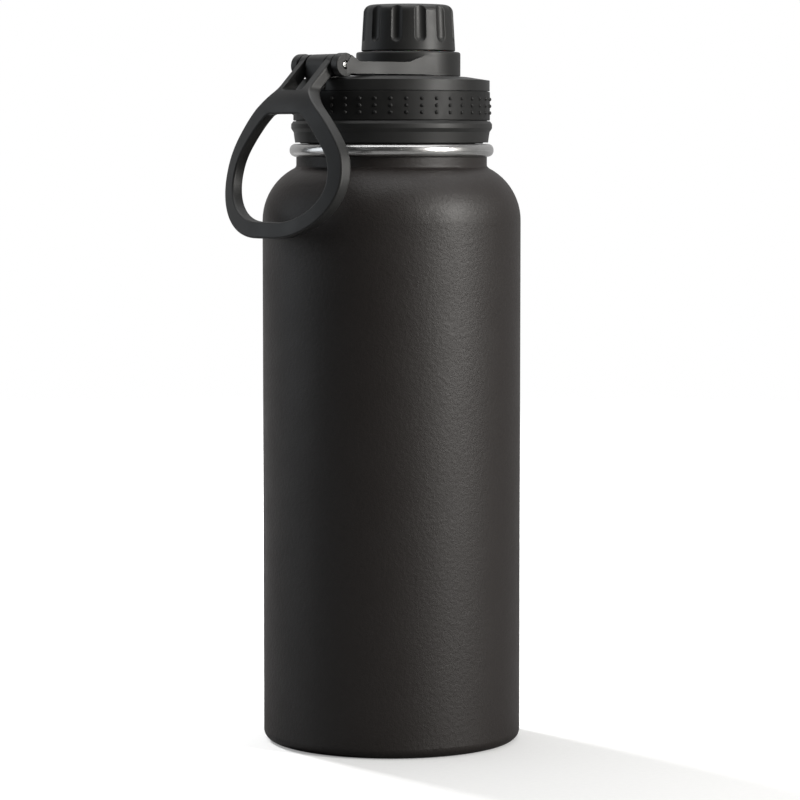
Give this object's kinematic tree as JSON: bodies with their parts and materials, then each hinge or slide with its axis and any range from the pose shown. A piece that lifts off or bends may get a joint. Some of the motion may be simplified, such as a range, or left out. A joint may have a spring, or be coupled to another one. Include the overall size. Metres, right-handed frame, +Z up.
{
  "type": "insulated growler",
  "caption": "Insulated growler: double-walled steel bottle with a rolled rim, screw lid with dotted grip band, fluted spout cap on a hinged collar, and a swinging carry loop.",
  "frame": {"origin": "centre of the circle that the bottle stands on", "axes": "+Z up along the bottle's axis, -X towards the lid's hinge and carry loop, +X towards the spout"},
  "size_m": [0.1016, 0.09, 0.2569],
  "materials": {
    "powder_coat": "matte powder coat with a fine orange-peel texture",
    "bare_steel": "drawn stainless steel, polished at the rolled rim",
    "pin_steel": "bright ground stainless steel",
    "moulded_black": "satin moulded polypropylene",
    "white_plastic": "satin moulded polypropylene, food grade",
    "black_silicone": "matte silicone",
    "clear_silicone": "translucent silicone",
    "foam": "closed-cell foam",
    "seal_glass": "fused solder glass",
    "getter_metal": "pressed metal powder"
  },
  "bodies": {
    "bottle": {"outer_shell": "powder_coat", "outer_base": "bare_steel", "base_cover": "bare_steel", "vacuum_seal": "seal_glass", "getter": "getter_metal", "inner_liner": "bare_steel"},
    "gasket": {"lid_gasket": "black_silicone"},
    "lid": {"lid_shell": "moulded_black", "lid_plug": "white_plastic", "foam_insert": "foam", "grip_band": "black_silicone", "spout_collar": "moulded_black", "hinge_pin": "pin_steel"},
    "seal": {"cap_seal": "clear_silicone"},
    "cap": {"spout_cap": "moulded_black", "cap_insert": "white_plastic"},
    "loop": {"carry_handle": "moulded_black"}
  },
  "joints": [
    {"name": "lid_lift", "type": "slide", "parent": "bottle", "child": "gasket", "axis": [0, 0, 1], "range_m": [0, 0.016]},
    {"name": "lid_turn", "type": "hinge", "parent": "gasket", "child": "lid", "pos_m": [0, 0, 0.20906], "axis": [0, 0, 1], "range_deg": [0, 1152]},
    {"name": "cap_lift", "type": "slide", "parent": "lid", "child": "seal", "axis": [0, 0, 1], "range_m": [0, 0.0045]},
    {"name": "cap_turn", "type": "hinge", "parent": "seal", "child": "cap", "pos_m": [0.0076, 0, 0.24076], "axis": [0, 0, 1], "range_deg": [0, 540]},
    {"name": "loop_swing", "type": "hinge", "parent": "lid", "child": "loop", "pos_m": [-0.0307, 0, 0.23536], "axis": [0, 1, 0], "range_deg": [-5.5, 195]}
  ],
  "couplings": [
    {"joint": "lid_lift", "follows": "lid_turn", "m_per_rad": 0.00079577},
    {"joint": "cap_lift", "follows": "cap_turn", "m_per_rad": 0.00047746}
  ]
}
